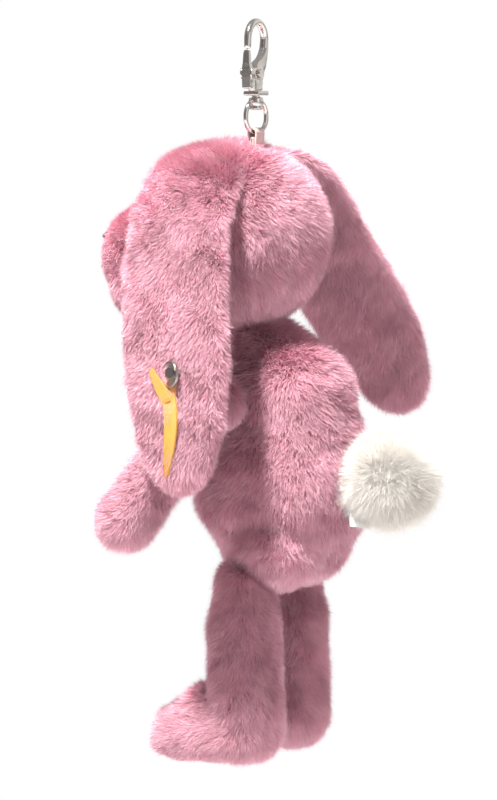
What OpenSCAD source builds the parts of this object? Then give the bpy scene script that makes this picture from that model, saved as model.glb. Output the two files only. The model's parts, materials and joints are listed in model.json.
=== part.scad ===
// Plush rabbit key charm on a swivel trigger hook.
// Millimetres. +Z is up, the rabbit faces -Y and its left side is +X.
// The origin is the top of the hook's mouth, where the ring it hangs from bears.
// Plush solids have the outer size of the brushed pile, not of the cloth under it.

/* [Hook] */
// Radius of the round top of the hook's mouth
mouth_r = 3; // [2.6:0.1:4]
// Width of the metal round the mouth
hook_wall = 1.6; // [1.2:0.1:2]
// Thickness of the hook's flat body
hook_t = 2; // [1.6:0.1:2.6]
// Drop from the top of the mouth to the trigger's pivot
pivot_drop = 10.4; // [9.6:0.2:12]
// Radius of the trigger's pivot pin
pin_r = 0.6; // [0.5:0.05:0.8]
// Thickness of the sheet the trigger is folded from
sheet_t = 0.5; // [0.4:0.05:0.7]
// Drop from the top of the mouth to the underside of the flange
flange_drop = 15.2; // [14.8:0.2:17]
// Width of the flange
flange_w = 4.9; // [4.6:0.1:6]
// Depth of the flange, front to back
flange_d = 3.8; // [3.6:0.1:5]

/* [Swivel eye] */
// Radius of the eye's post, which turns in the flange
post_r = 0.9; // [0.7:0.05:1.1]
// Outer radius of the eye
eye_ring_r = 3.9; // [3.6:0.1:4.6]
// Radius of the round part of the eye's opening
eye_hole_r = 2.7; // [2.5:0.1:3]
// Thickness of the eye
eye_ring_t = 1.1; // [0.9:0.1:1.4]

/* [Ribbon] */
// Width of the ribbon between the eye and the head
ribbon_w = 4.4; // [3.6:0.2:4.8]
// Thickness of the ribbon
ribbon_t = 0.35; // [0.25:0.05:0.5]

/* [Head] */
// Radius of the round head
head_r = 21.4; // [19:0.2:24]
// How far forward of the hook the middle of the head is
head_forward = 5.2; // [3:0.2:7]
// Radius of the muzzle
muzzle_r = 11.6; // [10:0.2:13]
// How far the middle of the muzzle is ahead of the middle of the head
muzzle_reach = 20.6; // [18:0.2:22]
// How far the middle of the muzzle is below the middle of the head
muzzle_drop = 4.8; // [3:0.2:7]
// Radius of the domed eyes
bead_r = 2.6; // [2:0.1:3]

/* [Ears] */
// Length of the ear below its fold
ear_len = 70; // [62:1:76]
// Greatest width of an ear
ear_w = 27.2; // [24:0.2:30]
// Width of an ear where it is sewn to the head
ear_root_w = 18; // [15:0.5:20]
// Thickness of an ear, pile and all
ear_t = 8.4; // [7:0.2:8.6]
// Radius of the rivet's cap in the left ear
cap_r = 3; // [2.6:0.1:3.6]
// Length of the folded tape under the rivet
tape_len = 22; // [16:1:24]
// Width of the folded tape
tape_w = 5; // [4:0.2:6]

/* [Torso] */
// Radius of the neck
neck_r = 8.5; // [7.6:0.1:9]
// Radius of the chest
chest_r = 15.5; // [13.5:0.5:16]
// Radius of the belly
belly_r = 20.5; // [18.5:0.5:21]
// Radius of the seat
seat_r = 16.3; // [15:0.5:17]
// Half the torso's width between the arms
torso_side = 16.5; // [14:0.5:16.5]
// Drop from the bottom of the head to the middle of the belly
belly_drop = 32.3; // [30.3:0.5:34.8]
// Radius of the tail
tail_r = 11.4; // [9:0.2:12.4]

/* [Arms] */
// Radius of an arm at the shoulder
shoulder_r = 5.8; // [5:0.1:6]
// Radius of the paw
paw_r = 6.6; // [6:0.1:6.8]
// Distance from the shoulder to the middle of the paw
arm_len = 36.4; // [31:0.2:42]
// How far forward of straight down the arms hang
arm_angle = 38.5; // [20:0.5:50]

/* [Legs] */
// Radius of a leg at the hip
hip_r = 8; // [7:0.1:8.6]
// Radius of a leg at the heel
heel_r = 8.4; // [7.6:0.1:9]
// Radius of the toe of the foot
toe_r = 6.8; // [6:0.1:7.4]
// Distance from the hip down to the middle of the heel
leg_len = 32.2; // [28:0.2:38]
// Distance from the middle of the heel forward to the middle of the toe
foot_reach = 16.8; // [13:0.2:20]
// Distance between the middles of the two legs
leg_gap = 23.2; // [22:0.2:26]

/* [Cloth] */
// Thickness of the plush, pile and all
plush_t = 2.6; // [2:0.1:3.2]
// Room left between plush solids that move past each other
soft_gap = 0.3; // [0.2:0.05:0.5]

/* [Hidden] */
$fn = 48;

pink = [0.84, 0.53, 0.6];
pale_pink = [0.9, 0.68, 0.72];
steel = [0.78, 0.78, 0.8];
white = [0.95, 0.94, 0.9];
yellow = [0.95, 0.72, 0.1];

run_gap = 0.06;     // radial room of metal that turns on metal
slide_gap = 0.12;   // room beside metal plates that pass each other
seam_gap = 0.05;    // between panels that are sewn edge to edge
fill_gap = 0.1;     // between a panel and what it is stuffed with
through = 60;       // longer than anything that is cut right through
bridge_share = 0.985;

// Hook, in the XZ plane
hook_r = mouth_r + hook_wall;
pivot = [1.2, 0, -pivot_drop];
boss_r = 3.2;
nose_drop = mouth_r + 2.2;
saddle_x = pivot.x + boss_r + 0.2;
saddle_h = 4.6;
pin_head_r = pin_r + 0.5;
pin_head_t = 0.35;
cheek_y = hook_t / 2 + slide_gap;
flange_t = 1;
coil_r = 0.32;
wire_r = 0.08;
pocket_z = -flange_drop + 2;
pocket_h = 1.1;
peen_t = 0.7;
peen_r = post_r + 0.5;

// Swivel eye
collar_t = 0.9;
eye_top_z = -flange_drop - 0.15;
eye_centre_z = eye_top_z - collar_t - eye_ring_r + 0.35;
eye_bar_t = 2.2;
eye_bottom_z = eye_centre_z - eye_ring_r;

// Ribbon, round the lower bar of the eye
bar_top_z = eye_centre_z - sqrt(pow(eye_hole_r, 2) - pow(ribbon_w / 2, 2));
swing_z = (bar_top_z + eye_bottom_z) / 2;
ribbon_bow = sqrt(pow((bar_top_z - eye_bottom_z) / 2, 2) + pow(eye_ring_t / 2, 2)) + 0.1;
ribbon_sewn = 2.6;

// Head
head_top_z = eye_bottom_z - 0.7;
head = [0, -head_forward, head_top_z - head_r];
muzzle = head + [0, -muzzle_reach, -muzzle_drop];
bridge_r = 16.5;
gusset_half = 7;
bead_side = 12.5;
bead_rise = 5.6;
bead_sink = 1.8;
bead_dir = [bead_side, -sqrt(pow(head_r, 2) - pow(bead_side, 2) - pow(bead_rise, 2)), bead_rise];
bead_post_r = 0.9;
washer_r = 3.6;
washer_t = 1;
thread_t = 0.45;

// Neck, where the torso's top sits in the bottom of the head
neck = [0, head.y + 6.7, head.z - head_r - 1];
neck_room = 3.5;

// Ears. Each is cut from a curved side profile and a flat outline.
ear_half = ear_t / 2;
knuckle_r = 3.2;
root_in = head_r + 0.1;
root_out = head_r + 2.7;
root_start = 14;
ear_left_fold = [head_r + 1.8, head.z + 13.2];
ear_left_y = head.y + 1.2;
ear_left_tilt = 5;
ear_left_bend = [[4.8, -13.5], [10.8, -36.5], [13.2, -66]];
ear_right_fold = [-head_r - 0.4, head.z + 14.9];
ear_right_turn = -12;
ear_right_bend = [[-9, -8], [-20.5, -29.5], [-35.2, -55]];
ear_steps = 12;
lining_t = 2;
ear_plush_t = 3.2;

// Rivet and tape, on the outer face of the left ear
rivet_at = 0.705;
rivet_turn = -12;
rivet_y = 0.8;
cap_t = 1.2;
shank_r = 1.1;
backing_r = 2.4;
backing_t = 0.8;
backing_z = -ear_half + 0.6;
tape_t = 0.9;
tape_z = ear_half + tape_w / 2 * sin(-rivet_turn) + 0.1;

// Torso
belly_z = head.z - head_r - belly_drop;
chest = [0, 5.5, belly_z + 17.5];
belly = [0, 7.2, belly_z];
seat = [0, 7, belly_z - 8.5];
back_y = belly.y + belly_r;
label_w = 7;
label_h = 9;
label_t = 0.4;

// Tail
tail_face_y = back_y + 1.9;
tail = [0, back_y + 5.6, belly_z + 2.2];
tie_r = 2.1;

// Arms
arm_x = torso_side + soft_gap + paw_r;
shoulder = [arm_x, 3, belly_z + 19.5];
stub_r = 5.2;
stub_depth = 4.5;

// Legs
hip = [leg_gap / 2, 3, belly_z - 21.5];
sole_t = 1.4;
sole_cut = 0.9;
foot_drop = 2.4;

// A point on the cubic curve from [0, 0] through the three points of b
function bend_at(b, t) =
    3 * pow(1 - t, 2) * t * b[0] + 3 * (1 - t) * t * t * b[1] + pow(t, 3) * b[2];
// The unit normal of that curve, to the left of the way it runs
function bend_normal(b, t) =
    let(d = 3 * pow(1 - t, 2) * b[0] + 6 * (1 - t) * t * (b[1] - b[0]) + 3 * t * t * (b[2] - b[1]))
    [-d[1], d[0]] / norm(d);
// Half of the ear's thickness that counts at t, which is less beside the fold
function ear_swell(t) = min(1, knuckle_r / ear_half + 2.4 * t * (1 - knuckle_r / ear_half));

// Turns children so that their Z axis points along v
module along(v) {
    rotate([0, acos(v.z / norm(v)), atan2(v.y, v.x)]) children();
}

module ball(at, r) {
    translate(at) sphere(r = r);
}

// The cone between two balls, a little under the one that would touch both
module bridge(a, ra, b, rb) {
    v = b - a;
    d = norm(v);
    lean = (ra - rb) / d;
    across = sqrt(1 - lean * lean) * bridge_share;
    translate(a) along(v) translate([0, 0, ra * lean])
        cylinder(h = d + (rb - ra) * lean, r1 = ra * across, r2 = rb * across);
}

module limb(a, ra, b, rb) {
    ball(a, ra);
    ball(b, rb);
    bridge(a, ra, b, rb);
}

// Draws children again on the rabbit's right
module on_right() {
    mirror([1, 0, 0]) children();
}

// ---- Hook ----

module flat_y(t) {
    rotate([90, 0, 0]) linear_extrude(t, center = true) children();
}

module hook_outline() {
    difference() {
        union() {
            difference() {
                translate([0, -mouth_r]) circle(r = hook_r);
                translate([-hook_r, -mouth_r - 2 * hook_r]) square([2 * hook_r, 2 * hook_r]);
            }
            translate([mouth_r, -nose_drop + hook_wall / 2])
                square([hook_wall, nose_drop - mouth_r - hook_wall / 2 + 0.01]);
            translate([mouth_r + hook_wall / 2, -nose_drop + hook_wall / 2]) circle(d = hook_wall);
            translate([-hook_r, -pivot_drop]) square([hook_wall, pivot_drop - mouth_r + 0.01]);
            translate([pivot.x, pivot.z]) circle(r = boss_r);
            polygon([
                [-hook_r, -pivot_drop + 2], [-mouth_r, -pivot_drop + 2],
                [-mouth_r + 1.6, -pivot_drop + 1.2], [pivot.x, -pivot_drop],
                [flange_w / 2, -flange_drop + flange_t], [-flange_w / 2, -flange_drop + flange_t],
                [-hook_r, -pivot_drop]
            ]);
        }
        translate([0, -mouth_r]) circle(r = mouth_r);
        translate([pivot.x, pivot.z]) circle(r = pin_r);
    }
}

module hook_body() {
    color(steel) difference() {
        union() {
            flat_y(hook_t) hook_outline();
            translate([-flange_w / 2, -flange_d / 2, -flange_drop])
                cube([flange_w, flange_d, flange_t]);
            translate([0, 0, -flange_drop + flange_t])
                cylinder(h = 1.2, r1 = flange_d / 2 - 0.1, r2 = hook_t / 2);
        }
        translate([0, 0, -flange_drop - 1]) cylinder(h = 4, r = post_r + run_gap);
        translate([-peen_r - 0.15, -flange_d, pocket_z])
            cube([2 * peen_r + 0.3, 2 * flange_d, pocket_h]);
        translate([pivot.x + pin_r + 0.3, -0.5, pivot.z - 0.9]) cube([2.6, 1, 1.8]);
    }
}

module hook_pivot_pin() {
    reach = cheek_y + sheet_t + 0.1;
    color(steel) translate(pivot) rotate([90, 0, 0]) {
        cylinder(h = 2 * reach + 0.02, r = pin_r, center = true);
        for (s = [-1, 1]) translate([0, 0, s * (reach + pin_head_t / 2)])
            cylinder(h = pin_head_t, r = pin_head_r, center = true);
    }
}

// Small compression coil between the boss and the inside of the trigger
module trigger_spring() {
    turns = 5;
    steps = turns * 12;
    pitch = 0.46;
    points = [for (i = [0:steps]) for (j = [0:5])
        let(a = i * 30, r = coil_r + wire_r * cos(j * 60))
        [r * cos(a), r * sin(a), pitch * i / 12 + wire_r * sin(j * 60)]];
    faces = concat(
        [[for (j = [0:5]) j]],
        [[for (j = [5:-1:0]) steps * 6 + j]],
        [for (i = [0:steps - 1]) for (j = [0:5]) let(k = (j + 1) % 6)
            [i * 6 + j, (i + 1) * 6 + j, (i + 1) * 6 + k, i * 6 + k]]
    );
    color(steel) translate([pivot.x + pin_r + 0.4, 0, pivot.z]) rotate([0, 90, 0])
        polyhedron(points, faces);
}

module trigger_cheek() {
    difference() {
        union() {
            translate([pivot.x, pivot.z]) circle(r = 2.1);
            translate([pivot.x, pivot.z - saddle_h / 2])
                square([saddle_x + sheet_t - pivot.x, saddle_h]);
        }
        translate([pivot.x, pivot.z]) circle(r = pin_r + run_gap);
    }
}

module trigger() {
    back_top = pivot.z + saddle_h / 2;
    tip_x = mouth_r - 0.15;
    color(steel) {
        for (s = [-1, 1]) translate([0, s * (cheek_y + sheet_t / 2), 0])
            flat_y(sheet_t) trigger_cheek();
        translate([saddle_x, -cheek_y - sheet_t, pivot.z - saddle_h / 2])
            cube([sheet_t, 2 * (cheek_y + sheet_t), saddle_h]);
        flat_y(hook_t - 0.4) polygon([
            [saddle_x, back_top - 0.8], [saddle_x + sheet_t, back_top - 0.8],
            [saddle_x + sheet_t, back_top], [mouth_r + 0.6, -nose_drop - 0.35],
            [tip_x, -nose_drop - 0.15], [tip_x, -nose_drop + 0.9],
            [tip_x - 0.7, -nose_drop + 0.9], [tip_x - 0.7, -nose_drop - 0.6],
            [saddle_x - 0.2, back_top - 0.4]
        ]);
    }
}

module swivel_eye() {
    color(steel) {
        translate([0, 0, eye_top_z - 0.3]) cylinder(h = pocket_z - eye_top_z + 0.3, r = post_r);
        translate([0, 0, pocket_z + 0.15]) cylinder(h = peen_t, r1 = peen_r, r2 = peen_r - 0.3);
        translate([0, 0, pocket_z - 0.05]) cylinder(h = 0.25, r = post_r);
        translate([0, 0, eye_top_z - collar_t]) cylinder(h = collar_t, r = post_r + 0.9);
        flat_y(eye_ring_t) difference() {
            translate([0, eye_centre_z]) circle(r = eye_ring_r);
            intersection() {
                translate([0, eye_centre_z]) circle(r = eye_hole_r);
                translate([-eye_ring_r, eye_centre_z - eye_ring_r])
                    square([2 * eye_ring_r, 2 * eye_ring_r - eye_bar_t]);
            }
        }
    }
}

// ---- Ribbon ----

module ribbon_profile(grow) {
    bow = ribbon_bow + grow;
    translate([0, swing_z]) circle(r = bow);
    translate([-bow, head_top_z - ribbon_sewn]) square([2 * bow, swing_z - head_top_z + ribbon_sewn]);
}

module ribbon_solid(grow, w) {
    rotate([90, 0, 90]) linear_extrude(w, center = true) ribbon_profile(grow);
}

module ribbon_loop() {
    color(pale_pink) difference() {
        ribbon_solid(ribbon_t, ribbon_w);
        difference() {
            ribbon_solid(0, 2 * ribbon_w);
            translate([-ribbon_w, -through / 2, head_top_z - ribbon_sewn - 1])
                cube([2 * ribbon_w, through, 1 + ribbon_t]);
        }
    }
}

// Rows of tight stitches that close the loop inside the seam
module ribbon_bartack() {
    color(pink) for (i = [-7:7]) translate([i * 0.24, 0, head_top_z - ribbon_sewn + 1])
        rotate([90, 0, 0]) cylinder(h = 2 * ribbon_bow - 0.04, r = 0.14, center = true, $fn = 16);
}

// ---- Head ----

module head_form(inset) {
    translate(head) sphere(r = head_r - inset, $fn = 96);
    limb(head + [0, -4, -1], bridge_r - inset, muzzle, muzzle_r - inset);
}

module bead_place(side) {
    translate(head) along([side * bead_dir.x, bead_dir.y, bead_dir.z])
        translate([0, 0, head_r - bead_sink]) children();
}

module bead_post(room) {
    translate([0, 0, -8]) cylinder(h = 8, r = bead_post_r + room);
}

module bead_washer(room) {
    translate([0, 0, -3.2 - washer_t - room]) cylinder(h = washer_t + 2 * room, r = washer_r + room);
}

module head_cuts() {
    translate(neck) sphere(r = neck_r + neck_room);
    for (side = [-1, 1]) bead_place(side) {
        sphere(r = bead_r + fill_gap);
        bead_post(fill_gap);
    }
    ribbon_solid(ribbon_t + seam_gap, ribbon_w + 2 * seam_gap);
}

module head_skin() {
    difference() {
        head_form(0);
        head_form(plush_t);
        head_cuts();
    }
}

module slab_x(low, high) {
    translate([low, -through, head.z - through]) cube([high - low, 2 * through, 2 * through]);
}

module head_gusset() {
    color(pink) intersection() {
        head_skin();
        slab_x(-gusset_half + seam_gap, gusset_half - seam_gap);
    }
}

module head_side_left() {
    color(pink) intersection() {
        head_skin();
        slab_x(gusset_half, through);
    }
}

module head_side_right() {
    color(pink) intersection() {
        head_skin();
        slab_x(-through, -gusset_half);
    }
}

module head_stuffing() {
    color(white) difference() {
        head_form(plush_t + fill_gap);
        head_cuts();
        for (side = [-1, 1]) bead_place(side) bead_washer(fill_gap);
    }
}

module eye_bead(side) {
    color([0.08, 0.05, 0.05]) bead_place(side) {
        sphere(r = bead_r);
        bead_post(0);
    }
}

module eye_washer(side) {
    color(white) bead_place(side) difference() {
        bead_washer(0);
        bead_post(0.05);
    }
}

module eye_left() { eye_bead(1); }
module eye_right() { eye_bead(-1); }
module eye_washer_left() { eye_washer(1); }
module eye_washer_right() { eye_washer(-1); }

// The front of a shell that lies on the muzzle, cut to the outline of its children
module muzzle_patch() {
    intersection() {
        translate(muzzle) difference() {
            sphere(r = muzzle_r + thread_t, $fn = 96);
            sphere(r = muzzle_r + seam_gap, $fn = 96);
        }
        translate(muzzle) rotate([90, 0, 0]) linear_extrude(muzzle_r + 2) children();
    }
}

module nose_embroidery() {
    color([0.6, 0.3, 0.36]) muzzle_patch() {
        for (side = [-1, 1]) translate([side * 1.7, 4.3]) circle(r = 1.1);
        polygon([[1.7, 5.5], [-1.7, 5.5], [-2.6, 3.8], [-0.5, 1.9], [0.5, 1.9], [2.6, 3.8]]);
    }
}

module mouth_embroidery() {
    color([0.6, 0.3, 0.36]) muzzle_patch() {
        translate([-0.3, -1.4]) square([0.6, 3.2]);
        for (side = [-1, 1]) translate([side * 1.9, -1.2]) difference() {
            circle(r = 2.2);
            circle(r = 1.6);
            translate([-3, 0]) square([6, 3]);
        }
    }
}

// ---- Ears ----

// Side profile of an ear between two depths, from -1 on the head's side to 1 outside
module ear_profile(b, fold, from, to) {
    ts = [for (i = [0:ear_steps]) i / ear_steps];
    translate(fold) polygon(concat(
        [for (t = ts) bend_at(b, t) + bend_normal(b, t) * from * ear_swell(t)],
        [for (i = [ear_steps:-1:0]) let(t = ts[i]) bend_at(b, t) + bend_normal(b, t) * to * ear_swell(t)]
    ));
}

// Outline of an ear seen from its side, hanging down from z = 0
module ear_outline(len) {
    half = ear_w / 2;
    top = ear_root_w / 2;
    translate([0, -len + half]) circle(r = half);
    polygon([
        [top, knuckle_r + 1], [-top, knuckle_r + 1], [-half, -len * 0.42],
        [-half * 0.98, -len + half * 0.95], [half * 0.98, -len + half * 0.95], [half, -len * 0.42]
    ]);
}

// The left ear hangs with its tip a little behind its fold
module on_left_ear() {
    translate([0, ear_left_y, ear_left_fold[1]]) rotate([ear_left_tilt, 0, 0])
        translate([0, 0, -ear_left_fold[1]]) children();
}

module ear_left_layer(from, to) {
    on_left_ear() intersection() {
        flat_y(ear_w + 1) ear_profile(ear_left_bend * ear_len / 70, ear_left_fold, from, to);
        translate([0, 0, ear_left_fold[1]]) rotate([90, 0, 90])
            linear_extrude(through) ear_outline(ear_len - 3.5);
    }
}

module ear_right_layer(from, to) {
    lean = atan(ear_right_bend[2][0] / ear_right_bend[2][1]);
    intersection() {
        flat_y(ear_w + 1) ear_profile(ear_right_bend * ear_len / 70, ear_right_fold, from, to);
        translate([ear_right_fold[0], 0, ear_right_fold[1]]) rotate([90 + lean, 0, 90])
            linear_extrude(through, center = true) ear_outline(ear_len - 5);
    }
}

module on_right_ear() {
    translate([0, head.y, 0]) rotate([0, 0, ear_right_turn]) children();
}

// What is left of the head's side of an ear once its two panels are taken off
lining_in = -ear_half;
lining_out = -ear_half + lining_t;
plush_in = ear_half - ear_plush_t;

module rivet_place() {
    bend = ear_left_bend * ear_len / 70;
    at = bend_at(bend, rivet_at);
    out = bend_normal(bend, rivet_at);
    on_left_ear() translate([ear_left_fold[0] + at[0], rivet_y, ear_left_fold[1] + at[1]])
        rotate([0, 0, rivet_turn]) rotate([0, atan2(out[0], out[1]), 0]) children();
}

module shank_form(room) {
    rivet_place() {
        translate([0, 0, backing_z]) cylinder(h = tape_z + tape_t - backing_z, r = shank_r + room);
        translate([0, 0, backing_z - room]) cylinder(h = backing_t + 2 * room, r = backing_r + room);
    }
}

module ear_left_plush() {
    color(pink) difference() {
        ear_left_layer(plush_in, ear_half);
        shank_form(seam_gap);
    }
}

module ear_left_wadding() {
    color(white) difference() {
        ear_left_layer(lining_out + fill_gap, plush_in - fill_gap);
        shank_form(seam_gap);
    }
}

module ear_left_lining() {
    color(pale_pink) difference() {
        ear_left_layer(lining_in, lining_out);
        shank_form(seam_gap);
    }
}

module ear_right_plush() {
    color(pink) on_right_ear() ear_right_layer(-ear_half, -plush_in);
}

module ear_right_wadding() {
    color(white) on_right_ear() ear_right_layer(-plush_in + fill_gap, -lining_out - fill_gap);
}

module ear_right_lining() {
    color(pale_pink) on_right_ear() ear_right_layer(-lining_out, -lining_in);
}

// The sewn-down start of an ear, a band that follows the head from near its top to the fold
module ear_root(fold, side) {
    fold_angle = atan2(abs(fold[0]), fold[1] - head.z);
    gap_angle = (knuckle_r + 0.9) / root_out * 180 / PI;
    span = fold_angle - gap_angle - root_start;
    translate([0, 0, head.z]) rotate([90, 0, 0])
        rotate([0, 0, side > 0 ? 90 - root_start - span : 90 + root_start])
        rotate_extrude(angle = span) translate([root_in, -ear_root_w / 2])
        square([root_out - root_in, ear_root_w]);
}

module ear_root_left() {
    color(pink) translate([0, ear_left_y, 0]) ear_root(ear_left_fold, 1);
}

module ear_root_right() {
    color(pink) on_right_ear() ear_root(ear_right_fold, -1);
}

module rivet_cap() {
    color(steel) rivet_place() translate([0, 0, tape_z + tape_t + seam_gap]) intersection() {
        cylinder(h = cap_t, r = cap_r);
        translate([0, 0, cap_t - 6]) sphere(r = 6, $fn = 96);
    }
}

module rivet_shank() {
    color(steel) shank_form(0);
}

module ear_tape() {
    color(yellow) rivet_place() difference() {
        translate([-cap_r, -tape_w / 2, tape_z]) cube([tape_len, tape_w, tape_t]);
        cylinder(h = tape_z + 2 * tape_t, r = shank_r + seam_gap);
    }
}

// ---- Torso ----

module torso_form(inset) {
    intersection() {
        union() {
            limb(neck, neck_r - inset, chest, chest_r - inset);
            bridge(chest, chest_r - inset, belly, belly_r - inset);
            limb(belly, belly_r - inset, seat, seat_r - inset);
        }
        translate([-torso_side + inset, -through, hip.z + inset])
            cube([2 * (torso_side - inset), 2 * through, 2 * through]);
    }
}

module torso_cuts() {
    for (side = [-1, 1]) {
        translate([side * (torso_side + 1), shoulder.y, shoulder.z]) rotate([0, 90, 0])
            cylinder(h = 2 * (stub_depth + 1 + soft_gap), r = stub_r + soft_gap, center = true);
        translate([side * hip.x, hip.y, hip.z]) sphere(r = hip_r + soft_gap);
    }
}

module torso_skin() {
    difference() {
        torso_form(0);
        torso_form(plush_t);
        torso_cuts();
    }
}

module slab_y(low, high) {
    translate([-through, low, belly.z - through]) cube([2 * through, high - low, 2 * through]);
}

module torso_front() {
    color(pink) intersection() {
        torso_skin();
        slab_y(-through, belly.y - seam_gap);
    }
}

module torso_back() {
    color(pink) intersection() {
        torso_skin();
        slab_y(belly.y, through);
    }
}

module torso_stuffing() {
    color(white) difference() {
        torso_form(plush_t + fill_gap);
        torso_cuts();
    }
}

module care_label() {
    color(white) translate([-label_w / 2, back_y - 0.2, belly.z - 4 - label_h])
        cube([label_w, label_t, label_h]);
}

module tail_pompom() {
    color(white) translate(tail) rotate([-90, 0, 0]) rotate_extrude($fn = 96) intersection() {
        circle(r = tail_r);
        translate([0, tail_face_y - tail.y]) square([tail_r, 2 * tail_r]);
    }
}

module tail_tie() {
    color(white) translate([tail.x, tail_face_y, tail.z]) rotate([90, 0, 0])
        cylinder(h = tail_face_y - back_y - 2 * soft_gap, r = tie_r);
}

// ---- Arms ----

module arm_form(inset) {
    paw = shoulder + arm_len * [0, -sin(arm_angle), -cos(arm_angle)];
    limb(shoulder, shoulder_r - inset, paw, paw_r - inset);
}

module arm_plush() {
    difference() {
        union() {
            arm_form(0);
            translate([torso_side - stub_depth, shoulder.y, shoulder.z]) rotate([0, 90, 0])
                cylinder(h = arm_x - torso_side + stub_depth, r = stub_r);
        }
        arm_form(plush_t);
    }
}

module arm_left_plush() { color(pink) arm_plush(); }
module arm_left_stuffing() { color(white) arm_form(plush_t + fill_gap); }
module arm_right_plush() { color(pink) on_right() arm_plush(); }
module arm_right_stuffing() { color(white) on_right() arm_form(plush_t + fill_gap); }

// ---- Legs ----

module leg_form(inset) {
    heel = hip + [0, 0.6, -leg_len];
    toe = heel + [0, -foot_reach, -foot_drop];
    limb(hip, hip_r - inset, heel, heel_r - inset);
    bridge(heel, heel_r - inset, toe, toe_r - inset);
    ball(toe, toe_r - inset);
}

sole_z = hip.z - leg_len - foot_drop - toe_r + sole_cut;

module above_sole(room) {
    translate([-through, -through, sole_z + room]) cube([2 * through, 2 * through, 2 * through]);
}

module leg_plush() {
    intersection() {
        difference() {
            leg_form(0);
            leg_form(plush_t);
        }
        above_sole(sole_t + seam_gap);
    }
}

module leg_stuffing() {
    intersection() {
        leg_form(plush_t + fill_gap);
        above_sole(sole_t + fill_gap);
    }
}

module sole() {
    intersection() {
        leg_form(0);
        above_sole(0);
        translate([-through, -through, sole_z - 1]) cube([2 * through, 2 * through, sole_t + 1]);
    }
}

module leg_left_plush() { color(pink) leg_plush(); }
module leg_left_stuffing() { color(white) leg_stuffing(); }
module sole_left() { color(pink) sole(); }
module leg_right_plush() { color(pink) on_right() leg_plush(); }
module leg_right_stuffing() { color(white) on_right() leg_stuffing(); }
module sole_right() { color(pink) on_right() sole(); }

hook_body();
hook_pivot_pin();
trigger_spring();
trigger();
swivel_eye();
ribbon_loop();
ribbon_bartack();
head_gusset();
head_side_left();
head_side_right();
head_stuffing();
eye_left();
eye_right();
eye_washer_left();
eye_washer_right();
nose_embroidery();
mouth_embroidery();
ear_root_left();
ear_root_right();
ear_left_plush();
ear_left_wadding();
ear_left_lining();
ear_right_plush();
ear_right_wadding();
ear_right_lining();
rivet_cap();
rivet_shank();
ear_tape();
torso_front();
torso_back();
torso_stuffing();
care_label();
tail_pompom();
tail_tie();
arm_left_plush();
arm_left_stuffing();
arm_right_plush();
arm_right_stuffing();
leg_left_plush();
leg_left_stuffing();
sole_left();
leg_right_plush();
leg_right_stuffing();
sole_right();
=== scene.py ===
# %% [markdown]
# A plush rabbit key charm
#
# The real thing is a small stuffed rabbit that hangs by a ribbon from a swivel trigger
# hook. Its CAD solids are already placed, so this lesson only adds what the eye wants:
# cast and polished metal, satin ribbon, a woven tape, and above all the brushed pile.

# %% The frame
import json
import math

import bpy
import numpy as np
from mathutils import Matrix, Vector


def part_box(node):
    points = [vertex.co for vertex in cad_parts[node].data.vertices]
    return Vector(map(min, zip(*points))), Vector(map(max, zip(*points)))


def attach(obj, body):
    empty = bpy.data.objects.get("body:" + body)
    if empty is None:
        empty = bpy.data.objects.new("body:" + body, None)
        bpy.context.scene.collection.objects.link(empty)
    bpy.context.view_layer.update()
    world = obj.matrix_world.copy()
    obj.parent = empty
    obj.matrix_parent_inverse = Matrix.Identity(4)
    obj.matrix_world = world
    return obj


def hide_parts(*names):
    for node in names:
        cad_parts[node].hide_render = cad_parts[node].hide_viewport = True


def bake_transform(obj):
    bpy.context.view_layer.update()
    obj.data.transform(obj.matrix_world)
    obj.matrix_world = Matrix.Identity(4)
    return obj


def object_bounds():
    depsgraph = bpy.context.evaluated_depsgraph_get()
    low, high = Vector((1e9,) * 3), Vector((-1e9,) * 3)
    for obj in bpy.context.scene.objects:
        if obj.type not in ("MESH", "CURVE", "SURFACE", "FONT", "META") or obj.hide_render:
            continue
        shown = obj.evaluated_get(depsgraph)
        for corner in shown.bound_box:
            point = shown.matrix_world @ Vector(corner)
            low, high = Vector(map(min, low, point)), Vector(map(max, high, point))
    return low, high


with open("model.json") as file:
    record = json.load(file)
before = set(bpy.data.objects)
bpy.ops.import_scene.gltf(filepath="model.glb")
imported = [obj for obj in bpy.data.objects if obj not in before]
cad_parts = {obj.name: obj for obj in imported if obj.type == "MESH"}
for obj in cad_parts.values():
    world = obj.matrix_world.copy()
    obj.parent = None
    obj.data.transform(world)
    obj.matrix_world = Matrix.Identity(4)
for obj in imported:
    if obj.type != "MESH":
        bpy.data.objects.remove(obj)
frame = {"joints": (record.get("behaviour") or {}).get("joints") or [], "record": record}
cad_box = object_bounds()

MM = 0.001
AT = {j["child"]: Vector(j["pos_m"]) for j in frame["joints"]}
print("bodies that move:", ", ".join(AT))


def box(*nodes):
    """Lowest and highest corner of several CAD nodes together."""
    pairs = [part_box(n) for n in nodes]
    return (Vector([min(p[0][k] for p in pairs) for k in range(3)]),
            Vector([max(p[1][k] for p in pairs) for k in range(3)]))


def middle(*nodes):
    lo, hi = box(*nodes)
    return (lo + hi) / 2


def select(*objects):
    """Object mode, with only these selected and the first of them active."""
    if bpy.context.object and bpy.context.object.mode != "OBJECT":
        bpy.ops.object.mode_set(mode="OBJECT")
    bpy.ops.object.select_all(action="DESELECT")
    for o in objects:
        o.select_set(True)
    if objects:
        bpy.context.view_layer.objects.active = objects[0]


def edit(piece, pick=None, kind="VERT"):
    """Edit mode on piece with the vertices or faces picked whose centre passes the test."""
    select(piece)
    bpy.ops.object.mode_set(mode="EDIT")
    bpy.ops.mesh.select_mode(type=kind)
    bpy.ops.mesh.select_all(action="DESELECT")
    if pick:
        bpy.ops.object.mode_set(mode="OBJECT")
        for part in (piece.data.polygons if kind == "FACE" else piece.data.vertices):
            part.select = bool(pick(part.center if kind == "FACE" else part.co, part.normal))
        bpy.ops.object.mode_set(mode="EDIT")


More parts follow.
